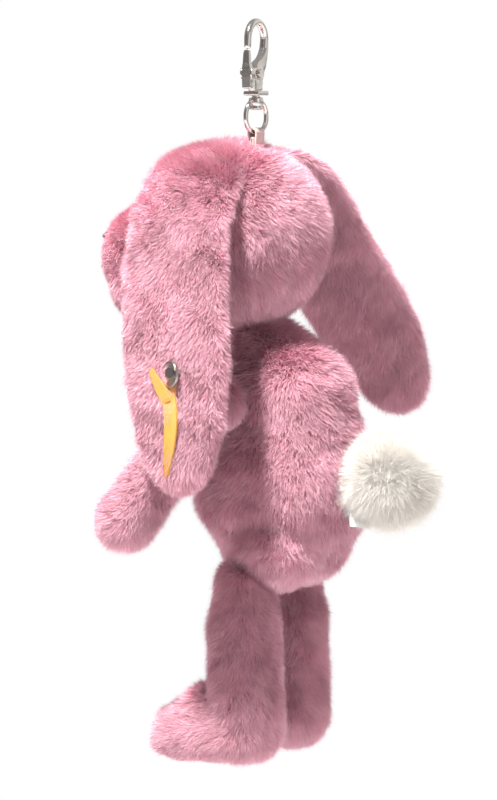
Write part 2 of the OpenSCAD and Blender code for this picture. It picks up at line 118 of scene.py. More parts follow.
def done(piece, angle=None):
    """Back to object mode, with the place put into the mesh and the shading smoothed."""
    select(piece)
    bpy.ops.object.transform_apply(location=True, rotation=True, scale=True)
    if angle is None:
        bpy.ops.object.shade_smooth()
    else:
        bpy.ops.object.shade_smooth_by_angle(angle=math.radians(angle))
    return piece


def modify(piece, kind, **values):
    """Adds a modifier with these values and applies it."""
    select(piece)
    bpy.ops.object.modifier_add(type=kind)
    m = piece.modifiers[-1]
    for k, v in values.items():
        setattr(m, k, v)
    bpy.ops.object.modifier_apply(modifier=m.name)


def joined(name, parts):
    select(*parts)
    if len(parts) > 1:
        bpy.ops.object.join()
    o = bpy.context.object
    o.name = o.data.name = name
    return o


def give(piece, material, body=None):
    """Hands a finished piece its material and its body."""
    piece.data.materials.clear()
    piece.data.materials.append(material)
    if body:
        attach(piece, body)
    return piece


# %% [markdown]
# ## Camera, floor and light
#
# The charm is seen from behind its left shoulder, a little from above, through a long
# lens that keeps it nearly parallel. A white room and a pale floor stay out of the way,
# and one large soft lamp high on the left gives the pile its bright and dark sides.

# %% Camera
AZIMUTH, HEIGHT, AWAY, SCALE = math.radians(117), math.radians(5), 0.9, 0.22 * MM
to_camera = Vector((math.sin(AZIMUTH) * math.cos(HEIGHT), -math.cos(AZIMUTH) * math.cos(HEIGHT),
                    math.sin(HEIGHT)))
to_right = Vector((math.cos(AZIMUTH), math.sin(AZIMUTH), 0))
aim = Vector((0, 0, -82 * MM)) - 1.65 * MM * to_right
select()
bpy.ops.object.camera_add(location=aim + AWAY * to_camera)
camera = bpy.context.object
camera.name = "Camera"
camera.rotation_euler = to_camera.to_track_quat("Z", "Y").to_euler()
camera.data.lens = camera.data.sensor_width * AWAY / (800 * SCALE)
camera.data.clip_start = 0.01
camera.data.dof.use_dof = False
bpy.context.scene.camera = camera
bpy.context.scene.view_settings.view_transform = "Standard"
print("lens", round(camera.data.lens), "mm")


# %% Floor and room
def seen_white(tree, lit, output, share):
    """What the camera sees is mostly white, while every other ray meets the surface as it is."""
    glow, path = tree.nodes.new("ShaderNodeEmission"), tree.nodes.new("ShaderNodeLightPath")
    glow.inputs["Color"].default_value = (1, 1, 1, 1)
    amount, mix = tree.nodes.new("ShaderNodeMath"), tree.nodes.new("ShaderNodeMixShader")
    amount.operation = "MULTIPLY"
    amount.inputs[1].default_value = share
    tree.links.new(path.outputs["Is Camera Ray"], amount.inputs[0])
    tree.links.new(amount.outputs[0], mix.inputs["Fac"])
    tree.links.new(lit, mix.inputs[1])
    tree.links.new(glow.outputs["Emission"], mix.inputs[2])
    tree.links.new(mix.outputs["Shader"], output)


select()
bpy.ops.mesh.primitive_circle_add(vertices=96, radius=6, fill_type="NGON",
                                  location=(0, 0, cad_box[0].z - 25 * MM))
floor = bpy.context.object
floor.name = "Floor"
pale = bpy.data.materials.new("pale_floor")
pale.use_nodes = True
pale_shader = pale.node_tree.nodes["Principled BSDF"]
pale_shader.inputs["Base Color"].default_value = (0.62, 0.61, 0.61, 1)
pale_shader.inputs["Roughness"].default_value = 0.9
seen_white(pale.node_tree, pale_shader.outputs["BSDF"], pale.node_tree.nodes["Material Output"].inputs["Surface"], 1.0)
floor.data.materials.append(pale)

world = bpy.data.worlds.new("White room")
bpy.context.scene.world = world
world.use_nodes = True
room = world.node_tree.nodes["Background"]
room.inputs["Color"].default_value = (1.0, 0.98, 0.99, 1)
room.inputs["Strength"].default_value = 0.36


def toward(direction, low, high):
    """1 for light that comes from around this direction, 0 away from it."""
    tree = world.node_tree
    ray, dot, fade = (tree.nodes.new("ShaderNode" + k) for k in ("TexCoord", "VectorMath", "MapRange"))
    dot.operation = "DOT_PRODUCT"
    dot.inputs[1].default_value = Vector(direction).normalized()
    fade.inputs["From Min"].default_value, fade.inputs["From Max"].default_value = low, high
    tree.links.new(ray.outputs["Generated"], dot.inputs[0])
    tree.links.new(dot.outputs["Value"], fade.inputs["Value"])
    return fade.outputs["Result"]


shade_of_room = (1.0, 0.98, 0.99, 1)
for direction, low, high, tint in (((0, 0, 1), 0.35, 0.9, (1.25, 1.24, 1.22, 1)), ((-0.89, 0.45, 0), 0.45, 0.85, (2.6, 2.5, 2.4, 1)),
                                   ((0.89, -0.45, 0), 0.6, 0.9, (0.62, 0.58, 0.56, 1))):
    mix = world.node_tree.nodes.new("ShaderNodeMix")
    mix.data_type = "RGBA"
    world.node_tree.links.new(toward(direction, low, high), mix.inputs["Factor"])
    if isinstance(shade_of_room, tuple):
        mix.inputs["A"].default_value = shade_of_room
    else:
        world.node_tree.links.new(shade_of_room, mix.inputs["A"])
    mix.inputs["B"].default_value = tint
    shade_of_room = mix.outputs["Result"]
world.node_tree.links.new(shade_of_room, room.inputs["Color"])
seen_white(world.node_tree, room.outputs["Background"], world.node_tree.nodes["World Output"].inputs["Surface"], 1.0)


# %% Lamps
def lamp(name, left, up, near, size, power, colour):
    """A square lamp placed from the camera's side: left, up and near in metres."""
    place = aim - left * to_right + up * Vector((0, 0, 1)) + near * to_camera
    select()
    bpy.ops.object.light_add(type="AREA", location=place)
    o = bpy.context.object
    o.name = name
    o.rotation_euler = (place - aim).to_track_quat("Z", "Y").to_euler()
    o.data.size, o.data.energy, o.data.color = size, power, colour
    print(name, "lamp", round((place - aim).length, 2), "m away")


lamp("Key", 0.18, 0.71, 0.25, 0.08, 22, (1.0, 0.99, 0.97))
lamp("Fill", -0.5, 0.15, 0.6, 0.5, 0.7, (1.0, 0.97, 0.98))


# %% [markdown]
# ## Materials
#
# Small metal parts of a key charm are cast, tumbled and plated, so their shine is broken
# by faint hollows. Cloth parts show the way their threads run. Each finish below keeps
# its shader to itself, and the patterns that several share are node groups.

# %% Shared patterns
def group(name, ins, outs):
    g = bpy.data.node_groups.new(name, "ShaderNodeTree")
    for n, kind, value in ins:
        s = g.interface.new_socket(n, in_out="INPUT", socket_type=kind)
        s.default_value = value
    for n, kind in outs:
        g.interface.new_socket(n, in_out="OUTPUT", socket_type=kind)
    return g, g.nodes.new("NodeGroupInput"), g.nodes.new("NodeGroupOutput")


def node(tree, kind, **values):
    n = tree.nodes.new(kind)
    for k, v in values.items():
        if k in n.inputs:
            n.inputs[k].default_value = v
        else:
            setattr(n, k, v)
    return n


handled, gin, gout = group(
    "Handled metal", [("Scale", "NodeSocketFloat", 900.0), ("Depth", "NodeSocketFloat", 0.2)],
    [("Height", "NodeSocketFloat"), ("Smudge", "NodeSocketFloat")])
coords = node(handled, "ShaderNodeTexCoord")
hollows = node(handled, "ShaderNodeTexNoise", Detail=3.0, Roughness=0.5)
smudges = node(handled, "ShaderNodeTexNoise", Scale=260.0, Detail=4.0, Roughness=0.6)
deep = node(handled, "ShaderNodeMath", operation="MULTIPLY")
spread = node(handled, "ShaderNodeMapRange")
spread.inputs["To Min"].default_value, spread.inputs["To Max"].default_value = 0.0, 1.0
spread.inputs["From Min"].default_value, spread.inputs["From Max"].default_value = 0.35, 0.7
for a, b in ((coords.outputs["Object"], hollows.inputs["Vector"]),
             (coords.outputs["Object"], smudges.inputs["Vector"]),
             (gin.outputs["Scale"], hollows.inputs["Scale"]),
             (hollows.outputs["Fac"], deep.inputs[0]), (gin.outputs["Depth"], deep.inputs[1]),
             (deep.outputs[0], gout.inputs["Height"]), (smudges.outputs["Fac"], spread.inputs["Value"]),
             (spread.outputs["Result"], gout.inputs["Smudge"])):
    handled.links.new(a, b)


# %% Metals and mouldings
def material(name, colour, rough, metallic=0.0, **sockets):
    m = bpy.data.materials.new(name)
    m.use_nodes = True
    b = m.node_tree.nodes["Principled BSDF"]
    b.inputs["Base Color"].default_value = (*colour, 1)
    b.inputs["Roughness"].default_value = rough
    b.inputs["Metallic"].default_value = metallic
    for k, v in sockets.items():
        b.inputs[k].default_value = v
    return m, m.node_tree, b


def metal(name, colour, low, high, scale, depth):
    """Plated or wrought metal: smudges lift the roughness from low to high, hollows bend the shine."""
    m, t, b = material(name, colour, low, 1.0)
    g = node(t, "ShaderNodeGroup", node_tree=handled)
    g.inputs["Scale"].default_value, g.inputs["Depth"].default_value = scale, depth
    r = node(t, "ShaderNodeMapRange")
    r.inputs["To Min"].default_value, r.inputs["To Max"].default_value = low, high
    tone = node(t, "ShaderNodeMix", data_type="RGBA")
    tone.inputs["A"].default_value = (*colour, 1)
    tone.inputs["B"].default_value = (*(0.8 * c for c in colour), 1)
    bump = node(t, "ShaderNodeBump", Strength=0.35, Distance=0.0001)
    for a, c in ((g.outputs["Smudge"], r.inputs["Value"]), (r.outputs["Result"], b.inputs["Roughness"]),
                 (g.outputs["Smudge"], tone.inputs["Factor"]), (tone.outputs["Result"], b.inputs["Base Color"]),
                 (g.outputs["Height"], bump.inputs["Height"]), (bump.outputs["Normal"], b.inputs["Normal"])):
        t.links.new(a, c)
    return m


chrome = metal("plated_casting", (0.70, 0.67, 0.64), 0.08, 0.20, 1100.0, 0.6)
spring_steel = metal("spring_wire", (0.42, 0.41, 0.40), 0.22, 0.40, 2500.0, 0.6)
old_nickel = metal("rivet_nickel", (0.36, 0.33, 0.31), 0.24, 0.42, 1500.0, 1.0)
eye_gloss, et, eb = material("eye_gloss", (0.012, 0.008, 0.007), 0.06, **{"Coat Weight": 0.6})
eg = node(et, "ShaderNodeGroup", node_tree=handled)
er = node(et, "ShaderNodeMapRange")
er.inputs["To Min"].default_value, er.inputs["To Max"].default_value = 0.05, 0.16
et.links.new(eg.outputs["Smudge"], er.inputs["Value"])
et.links.new(er.outputs["Result"], eb.inputs["Roughness"])


washer_plastic, wt, wb = material("washer_plastic", (0.55, 0.55, 0.53), 0.5)
wg = node(wt, "ShaderNodeGroup", node_tree=handled)
wr = node(wt, "ShaderNodeMapRange")
wr.inputs["To Min"].default_value, wr.inputs["To Max"].default_value = 0.4, 0.65
wt.links.new(wg.outputs["Smudge"], wr.inputs["Value"])
wt.links.new(wr.outputs["Result"], wb.inputs["Roughness"])
bartack_thread, bt, bb = material("bartack_thread", (0.80, 0.42, 0.50), 0.6, **{"Sheen Weight": 0.2})
bc, bw = node(bt, "ShaderNodeTexCoord"), node(bt, "ShaderNodeTexWave", Scale=1400.0, Distortion=2.0)
bn = node(bt, "ShaderNodeBump", Strength=0.7, Distance=0.00006)
for a, c in ((bc.outputs["Object"], bw.inputs["Vector"]), (bw.outputs["Fac"], bn.inputs["Height"]),
             (bn.outputs["Normal"], bb.inputs["Normal"])):
    bt.links.new(a, c)


# %% [markdown]
# Thread and ribbon are drawn along the piece's own map: U runs across and V along, so
# that the ribs of a satin follow every fold of it.

# %% Woven and sewn finishes
def threads(name, light, dark, across, along, rough=0.5, depth=0.5, sheen=0.2):
    """Cloth whose threads follow the piece's map: so many across it and along it."""
    m, t, b = material(name, light, rough, **{"Sheen Weight": sheen, "Sheen Roughness": 0.4})
    uv = node(t, "ShaderNodeUVMap", uv_map="Cloth")
    place = node(t, "ShaderNodeMapping")
    place.inputs["Scale"].default_value = (across, along, 1)
    warp = node(t, "ShaderNodeTexWave", wave_type="BANDS", bands_direction="X", Scale=0.5)
    weft = node(t, "ShaderNodeTexWave", wave_type="BANDS", bands_direction="Y", Scale=0.5)
    uneven = node(t, "ShaderNodeTexNoise", Scale=1.7, Detail=3.0)
    both = node(t, "ShaderNodeMix", data_type="FLOAT")
    both.inputs["Factor"].default_value = 0.5
    rough_mix = node(t, "ShaderNodeMath", operation="MULTIPLY")
    tone = node(t, "ShaderNodeMix", data_type="RGBA")
    tone.inputs["A"].default_value, tone.inputs["B"].default_value = (*dark, 1), (*light, 1)
    bump = node(t, "ShaderNodeBump", Strength=depth, Distance=0.00008)
    for a, c in ((uv.outputs["UV"], place.inputs["Vector"]), (place.outputs["Vector"], warp.inputs["Vector"]),
                 (place.outputs["Vector"], weft.inputs["Vector"]), (place.outputs["Vector"], uneven.inputs["Vector"]),
                 (warp.outputs["Fac"], both.inputs["A"]), (weft.outputs["Fac"], both.inputs["B"]),
                 (both.outputs["Result"], rough_mix.inputs[0]), (uneven.outputs["Fac"], rough_mix.inputs[1]),
                 (rough_mix.outputs[0], tone.inputs["Factor"]), (tone.outputs["Result"], b.inputs["Base Color"]),
                 (both.outputs["Result"], bump.inputs["Height"]), (bump.outputs["Normal"], b.inputs["Normal"])):
        t.links.new(a, c)
    return m


ribbon_satin = threads("ribbon_satin", (0.84, 0.68, 0.65), (0.58, 0.42, 0.40), 24, 90, 0.32, 0.5, 0.3)
tape_yellow = threads("tape_yellow", (0.92, 0.52, 0.10), (0.62, 0.26, 0.02), 16, 60, 0.7, 0.9, 0.15)
label_satin = threads("label_satin", (0.90, 0.89, 0.86), (0.74, 0.72, 0.69), 40, 50, 0.4, 0.3, 0.2)
nose_thread = threads("nose_thread", (0.42, 0.13, 0.18), (0.16, 0.03, 0.05), 15, 2, 0.55, 0.9, 0.3)
tie_thread = threads("tie_thread", (0.86, 0.80, 0.74), (0.6, 0.52, 0.46), 8, 30, 0.7, 0.9, 0.1)


# %% [markdown]
# ## The brushed pile
#
# Long-pile plush is a knitted cloth with thousands of soft fibres brushed one way. Hair
# systems don't leave Blender as a surface, so each lock of fibres here is a single thin
# triangle, rooted in the stuffed skin, laid along the comb and a little clumped. A map on
# the blades holds the random tone of the lock across and its height along, and the material
# turns that into a root darkened with painted shade, as deep in the pile, and a tip
# lightened with painted light, as where the lamp catches it.

# %% The pile's finish
def pile_finish(name, root, body, tip, deep, pale, rough=0.62, sheen=0.35, tint=(1, 0.8, 0.86)):
    m, t, b = material(name, body, rough, **{"Sheen Weight": sheen, "Sheen Roughness": 0.35,
                                             "Specular IOR Level": 0.25})
    b.inputs["Sheen Tint"].default_value = (*tint, 1)
    uv = node(t, "ShaderNodeUVMap", uv_map="OFBake")
    parts = node(t, "ShaderNodeSeparateXYZ")
    # The ramp along each blade is painted shade and light: darker at the root, where shade falls deep in the pile, and
    # lighter at the tip, which catches the lamp.
    height = node(t, "ShaderNodeValToRGB")
    ramp = height.color_ramp
    ramp.elements[0].color, ramp.elements[1].color = (*root, 1), (*tip, 1)
    middle_stop = ramp.elements.new(0.45)
    middle_stop.color = (*body, 1)
    lock = node(t, "ShaderNodeMix", data_type="RGBA", blend_type="MULTIPLY")
    lock.inputs["Factor"].default_value = 1.0
    shade = node(t, "ShaderNodeValToRGB")
    shade.color_ramp.elements[0].color = (*deep, 1)
    shade.color_ramp.elements[1].color = (*pale, 1)
    for a, c in ((uv.outputs["UV"], parts.inputs[0]), (parts.outputs["Y"], height.inputs["Fac"]),
                 (parts.outputs["X"], shade.inputs["Fac"]), (height.outputs["Color"], lock.inputs["A"]),
                 (shade.outputs["Color"], lock.inputs["B"]), (lock.outputs["Result"], b.inputs["Base Color"])):
        t.links.new(a, c)
    return m


def skin_finish(name, light, dark):
    """The knitted ground of the plush, which only shows between the locks. Where it is set darker than the pile, that
    is painted shade for the gaps between them.
    """
    m, t, b = material(name, light, 0.9, **{"Sheen Weight": 0.2})
    co = node(t, "ShaderNodeTexCoord")
    n = node(t, "ShaderNodeTexNoise", Scale=900.0, Detail=2.0)
    tone = node(t, "ShaderNodeMix", data_type="RGBA")
    tone.inputs["A"].default_value, tone.inputs["B"].default_value = (*dark, 1), (*light, 1)
    bump = node(t, "ShaderNodeBump", Strength=0.6, Distance=0.0002)
    for a, c in ((co.outputs["Object"], n.inputs["Vector"]), (n.outputs["Fac"], tone.inputs["Factor"]),
                 (tone.outputs["Result"], b.inputs["Base Color"]), (n.outputs["Fac"], bump.inputs["Height"]),
                 (bump.outputs["Normal"], b.inputs["Normal"])):
        t.links.new(a, c)
    return m


# Root, body and tip colours: the darker root is painted shade and the lighter tip is painted light. The last two
# colours set the random tone of the locks.
pink_pile = pile_finish("pink_pile", (0.68, 0.36, 0.43), (0.82, 0.43, 0.52), (0.95, 0.65, 0.73), (0.64, 0.57, 0.59),
                        (1.08, 1.06, 1.08))
# The pink ground is far darker than the pile: painted shade in the gaps between the locks.
pink_skin = skin_finish("pink_ground_painted_shade", (0.52, 0.20, 0.27), (0.34, 0.11, 0.16))
ivory_pile = pile_finish("ivory_pile", (0.90, 0.86, 0.80), (0.97, 0.94, 0.90), (0.99, 0.98, 0.96), (0.88, 0.85, 0.82),
                         (1.02, 1.02, 1.02), 0.55, 0.8, (1, 1, 1))
ivory_skin = skin_finish("ivory_ground", (0.94, 0.91, 0.86), (0.86, 0.81, 0.74))


# %% Locks of pile
def ripple(p, size, seed):
    """Smooth noise from -1 to 1 over points, with hills about size metres wide."""
    rng = np.random.default_rng(seed)
    total = np.zeros(len(p))
    for _ in range(6):
        k = rng.normal(size=3)
        k *= 2 * np.pi / (size * 2) / np.linalg.norm(k) * rng.uniform(0.7, 1.4)
        total += np.sin(p @ k + rng.uniform(0, 6.3))
    return total / 2.6


def unit(v):
    return v / np.maximum(np.linalg.norm(v, axis=1, keepdims=True), 1e-9)


def rooted(skin, count, rng):
    """Points and normals spread evenly over a skin."""
    me = skin.data
    me.calc_loop_triangles()
    co = np.empty(len(me.vertices) * 3)
    me.vertices.foreach_get("co", co)
    co = co.reshape(-1, 3)
    no = np.empty(len(me.vertices) * 3)
    me.vertices.foreach_get("normal", no)
    no = no.reshape(-1, 3)
    tri = np.empty(len(me.loop_triangles) * 3, int)
    me.loop_triangles.foreach_get("vertices", tri)
    tri = tri.reshape(-1, 3)
    a, b, c = co[tri[:, 0]], co[tri[:, 1]], co[tri[:, 2]]
    area = np.linalg.norm(np.cross(b - a, c - a), axis=1)
    pick = np.searchsorted(np.cumsum(area) / area.sum(), rng.random(count))
    u, v = rng.random((2, count, 1))
    over = (u + v) > 1
    u, v = np.where(over, 1 - u, u), np.where(over, 1 - v, v)
    t = tri[np.minimum(pick, len(tri) - 1)]
    place = co[t[:, 0]] * (1 - u - v) + co[t[:, 1]] * u + co[t[:, 2]] * v
    normal = unit(no[t[:, 0]] * (1 - u - v) + no[t[:, 1]] * u + no[t[:, 2]] * v)
    return place, normal


def lay_pile(name, skin, count, comb, seed, length=2.5, width=0.14, rise=0.74, stray=0.34, clump=0.24,
             clump_size=0.75, trim=None, wild=0.0, droop=0.0):
    """Covers skin with blades. comb(p, n) gives the way the pile lies, and trim(p) its share of full length."""
    rng = np.random.default_rng(seed)
    p, n = rooted(skin, count, rng)
    share = np.ones(len(p)) if trim is None else trim(p)
    keep = share > 0.03
    p, n, share = p[keep], n[keep], share[keep]
    k = len(p)
    way = comb(p, n)
    way = unit(way - n * (way * n).sum(1, keepdims=True))
    side = np.cross(n, way)
    turn = stray * (ripple(p, 0.005, seed + 1) + 0.8 * ripple(p, 0.0016, seed + 2) + rng.normal(size=k))
    way = way * np.cos(turn)[:, None] + side * np.sin(turn)[:, None]
    if wild:
        way = unit(way + wild * rng.normal(size=(k, 3)))
    lift = np.clip(rise + 0.14 * ripple(p, 0.004, seed + 3) + 0.22 * rng.normal(size=k), 0.12, 1.45)
    reach = length * MM * share * np.clip(1 + 0.2 * rng.normal(size=k) + 0.1 * ripple(p, 0.006, seed + 4), 0.4, 1.6)
    tip = p + reach[:, None] * (way * np.cos(lift)[:, None] + n * np.sin(lift)[:, None])
    tip[:, 2] -= droop * reach
    cell = np.floor(p / (clump_size * MM) + 0.3 * rng.normal(size=(k, 3))).astype(int)
    _, which = np.unique(cell @ np.array([1, 4099, 16785407]), return_inverse=True)
    crowd = np.bincount(which)[:, None]
    meet = np.stack([np.bincount(which, tip[:, i]) for i in range(3)], 1) / crowd
    tip += clump * (meet[which] - tip)
    root = p - 0.25 * MM * n
    axis = unit(tip - root)
    flat = unit(np.cross(n, axis))
    twist = 0.7 * rng.normal(size=k)
    half = (0.5 * width * MM * np.clip(1 + 0.25 * rng.normal(size=k), 0.5, 1.7))[:, None] * (
        flat * np.cos(twist)[:, None] + np.cross(axis, flat) * np.sin(twist)[:, None])
    points = np.stack([root + half, root - half, tip], 1).reshape(-1, 3)
    tone = 0.5 + 0.12 * ripple(p, 0.008, seed + 5) + 0.10 * ripple(p, 0.002, seed + 6) + 0.18 * rng.normal(size=k)
    tone = np.clip(tone, 0.02, 0.98)
    me = bpy.data.meshes.new(name)
    me.vertices.add(3 * k)
    me.vertices.foreach_set("co", points.ravel())
    me.loops.add(3 * k)
    me.loops.foreach_set("vertex_index", np.arange(3 * k))
    me.polygons.add(k)
    me.polygons.foreach_set("loop_start", np.arange(k) * 3)
    me.update(calc_edges=True)
    layer = me.uv_layers.new(name="OFBake")
    uv = np.stack([tone[:, None] + np.array([-1, 1, 0]) * 0.0016,
                   np.broadcast_to(np.array([0.01, 0.01, 0.99]), (k, 3))], 2)
    layer.data.foreach_set("uv", uv.ravel())
    o = bpy.data.objects.new(name, me)
    bpy.context.scene.collection.objects.link(o)
    print(name, k, "blades")
    return o


# %% [markdown]
# ## Stuffed skins
#
# Under the pile each limb is a firm stuffed bag. A row of balls along the limb, melted
# together by a voxel remesh and then relaxed, gives the soft swelling that filling makes
# between seams. The skins lie as far inside the CAD solids as the pile stands up.

# %% Skins from balls
DEEP = 1.5 * MM


def ball(at, radii, turn=None):
    select()
    bpy.ops.mesh.primitive_uv_sphere_add(segments=28, ring_count=16, radius=1, location=at)
    o = bpy.context.object
    o.scale = radii if hasattr(radii, "__len__") else (radii, radii, radii)
    if turn is not None:
        o.rotation_euler = turn
    bpy.ops.object.transform_apply(location=False, rotation=True, scale=True)
    return o


def row(a, ra, b, rb, steps, squeeze=(1, 1, 1)):
    """Balls from a to b whose size runs evenly from ra to rb."""
    a, b = Vector(a), Vector(b)
    return [ball(a.lerp(b, i / steps), [(ra + (rb - ra) * i / steps) * s for s in squeeze])
            for i in range(steps + 1)]


def stuffed(name, balls, voxel=0.9, relax=6):
    """Melts balls into one skin."""
    o = joined(name, balls)
    select(o)
    bpy.ops.object.transform_apply(location=True, rotation=True, scale=True)
    modify(o, "REMESH", mode="VOXEL", voxel_size=voxel * MM)
    modify(o, "SMOOTH", factor=0.5, iterations=relax)
    done(o)
    return o


# %% [markdown]
# ### Head
#
# The head is a round skull with a long blunt muzzle and full cheeks. Seen from the side
# its forehead runs down to the nose in one slope.

# %% Head
lo, hi = box("head_side_left", "head_side_right", "head_gusset")
skull_r = (hi.x - lo.x) / 2
skull = Vector((0, hi.y - skull_r, hi.z - skull_r))
muzzle_r = 11.6 * MM
muzzle = Vector((0, lo.y + muzzle_r, skull.z - 4.8 * MM))
head_balls = [ball(skull, skull_r - DEEP)]
head_balls += row(skull + Vector((0, -4, -1)) * MM, 16.8 * MM - DEEP, muzzle, muzzle_r + 0.7 * MM - DEEP, 7)
for s in (-1, 1):
    head_balls += [ball(skull + Vector((s * 8.5, -11.5, -8.0)) * MM, 11.0 * MM - DEEP),
                   ball(skull + Vector((s * 3.0, -19.2, -10.2)) * MM, 10.4 * MM - DEEP)]
head_skin = stuffed("head_skin", head_balls)
give(head_skin, pink_skin, "head")
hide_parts("head_gusset", "head_side_left", "head_side_right", "head_stuffing")

EYES = []
for s, n in ((1, "eye_left"), (-1, "eye_right")):
    elo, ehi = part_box(n)
    outer = Vector((ehi.x if s > 0 else elo.x, elo.y, ehi.z))
    EYES.append(Vector((outer.x - s * 2.6 * MM, outer.y + 2.6 * MM, outer.z - 2.6 * MM)))
nose_at = Vector((0, muzzle.y - muzzle_r, muzzle.z + 3.8 * MM))
ribbon_foot = Vector((0, 0, hi.z))


def head_comb(p, n):
    """From the nose back over the skull, then down behind and at the sides."""
    back = np.clip((p[:, 1] - muzzle.y) / (skull.y + 0.010 - muzzle.y), 0, 1)[:, None]
    away = unit(p - np.array(nose_at))
    down = np.array([0, 0.15, -1.0])
    side = np.clip(np.abs(p[:, :1]) / skull_r, 0, 1)
    return away * (1.1 - 0.55 * back) + down * (0.35 + 0.9 * back + 0.5 * side)


def head_trim(p):
    share = np.ones(len(p))
    for e in EYES:
        d = np.linalg.norm(p - np.array(e), axis=1)
        share = np.minimum(share, np.clip((d - 2.5 * MM) / (2.8 * MM), 0, 1) ** 0.7)
    d = np.linalg.norm((p - np.array(nose_at)) / np.array([3.4, 3.2, 2.6]) / MM, axis=1)
    share = np.minimum(share, np.clip((d - 0.9) / 1.1, 0, 1) ** 0.6)
    face = np.clip((-p[:, 1] + muzzle.y + 0.004) / 0.008, 0, 1)
    share *= 1 - 0.35 * face
    d = np.linalg.norm((p - np.array(ribbon_foot)) / np.array([2.6, 2.0, 4]) / MM, axis=1)
    return share * np.clip((d - 0.8) / 0.6, 0, 1)


head_pile = lay_pile("head_pile", head_skin, 190000, head_comb, 11, trim=head_trim)
give(head_pile, pink_pile, "head")

# %% [markdown]
# ### Torso
#
# A pear: narrow at the neck, fullest low down at the back, and pressed a little flat at
# the sides where the arms hang.

# %% Torso
lo, hi = box("torso_front", "torso_back")
belly_r = 20.5 * MM
belly = Vector((0, hi.y - belly_r, -99.5 * MM))
neck = AT["torso"]
half_w = hi.x
chest = belly + Vector((0, 0.0, 17.0)) * MM
torso_balls = row(neck + Vector((0, 0, -2)) * MM, 8.8 * MM - DEEP, chest, 16.2 * MM - DEEP, 5, (0.98, 1, 1))
torso_balls += row(chest, 16.2 * MM - DEEP, belly, belly_r - DEEP, 5, (0.87, 1, 1))
torso_balls += row(belly, belly_r - DEEP, belly + Vector((0, -1.0, -8.0)) * MM, 15.9 * MM - DEEP, 3, (0.87, 1, 1))
for s in (-1, 1):
    torso_balls += [ball(Vector((s * 6.6, 8.6, -112.2)) * MM, 11.0 * MM - DEEP)]
torso_skin = stuffed("torso_skin", torso_balls)
give(torso_skin, pink_skin, "torso")
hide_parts("torso_front", "torso_back", "torso_stuffing")


def torso_comb(p, n):
    return np.stack([0.12 * p[:, 0] / half_w, 0.1 + 0 * p[:, 1], -np.ones(len(p))], 1)


tail_at = AT["tail"]


def torso_trim(p):
    d = np.linalg.norm(p - np.array(tail_at), axis=1)
    return np.clip((d - 3 * MM) / (4 * MM), 0.25, 1)


torso_pile = lay_pile("torso_pile", torso_skin, 190000, torso_comb, 23, trim=torso_trim)
give(torso_pile, pink_pile, "torso")

# %% [markdown]
# ### Arms and legs
#
# Sausage arms hang forward from the shoulders. Each leg is a straight tube that turns
# into a short foot on a flat sole.

# %% Arms
for side, s in (("left", 1), ("right", -1)):
    top = AT["arm_" + side]
    lo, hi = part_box(f"arm_{side}_plush")
    paw = Vector((top.x, lo.y + 6.6 * MM, lo.z + 8.3 * MM))
    shoulder = top + Vector((-s * 4.4, -4.4, -0.4)) * MM
    armpit = ball(top + Vector((-s * 7.4, -3.2, -1.2)) * MM, 4.8 * MM)
    skin = stuffed(f"arm_{side}_skin", [armpit] + row(shoulder, 5.9 * MM - DEEP, paw, 7.4 * MM - DEEP, 10,
                                                      (0.92, 1.0, 1.04)), 0.7)
    give(skin, pink_skin, f"arm_{side}")
    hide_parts(f"arm_{side}_plush", f"arm_{side}_stuffing")
    along = np.array(paw - top)
    comb = lambda p, n, along=along: np.broadcast_to(along / np.linalg.norm(along) + [0, 0, -0.25], p.shape)
    pile = lay_pile(f"arm_{side}_pile", skin, 80000, comb, 31 + s)
    give(pile, pink_pile, f"arm_{side}")

# %% Legs
for side, s in (("left", 1), ("right", -1)):
    hip = AT["leg_" + side]
    lo, hi = box(f"leg_{side}_plush", f"sole_{side}")
    heel = Vector((hip.x, hip.y + 0.3 * MM, lo.z + 8.6 * MM))
    sole = Vector((hip.x, heel.y - 8.4 * MM, lo.z + 7.4 * MM))
    toe = Vector((hip.x, heel.y - 15.0 * MM, lo.z + 6.2 * MM))
    knee = hip.lerp(heel, 0.3)
    balls = row(hip + Vector((0, -0.2, -0.4)) * MM, 6.8 * MM - DEEP, knee, 8.3 * MM - DEEP, 4)
    balls += row(knee, 8.3 * MM - DEEP, heel, 8.7 * MM - DEEP, 8)
    balls += row(heel, 8.7 * MM - DEEP, sole, 8.2 * MM - DEEP, 4, (1.04, 1, 0.97))
    balls += row(sole, 8.2 * MM - DEEP, toe, 7.4 * MM - DEEP, 4, (1.08, 1.08, 0.92))
    balls += [ball(heel + Vector((0, -8.2, 2.6)) * MM, 7.6 * MM - DEEP), ball(sole + Vector((0, -3.4, 1.6)) * MM, 7.2 * MM - DEEP)]
    skin = stuffed(f"leg_{side}_skin", balls, 0.7)
    give(skin, pink_skin, f"leg_{side}")
    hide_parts(f"leg_{side}_plush", f"leg_{side}_stuffing", f"sole_{side}")
    ankle = heel.z + 8.5 * MM

    def comb(p, n, ankle=ankle, heel=heel):
        foot = np.clip((ankle - p[:, 2]) / (6 * MM), 0, 1) * np.clip((heel.y - p[:, 1]) / (4 * MM), 0, 1)
        return np.stack([0 * foot, -1.0 * foot, -1 + 0.55 * foot], 1)

    ground = lo.z

    def trim(p, ground=ground):
        return np.clip(0.45 + (p[:, 2] - ground - DEEP - 0.4 * MM) / (2.5 * MM), 0.45, 1)

    pile = lay_pile(f"leg_{side}_pile", skin, 130000, comb, 41 + s, trim=trim)
    give(pile, pink_pile, f"leg_{side}")

# %% [markdown]
# ### Ears
#
# Each ear is a long flat bag with little filling. It starts on the crown, bends over the
# side of the head and hangs. A ball is stretched ring by ring along that path, so its
# width and thickness can change along the way and both ends stay closed.


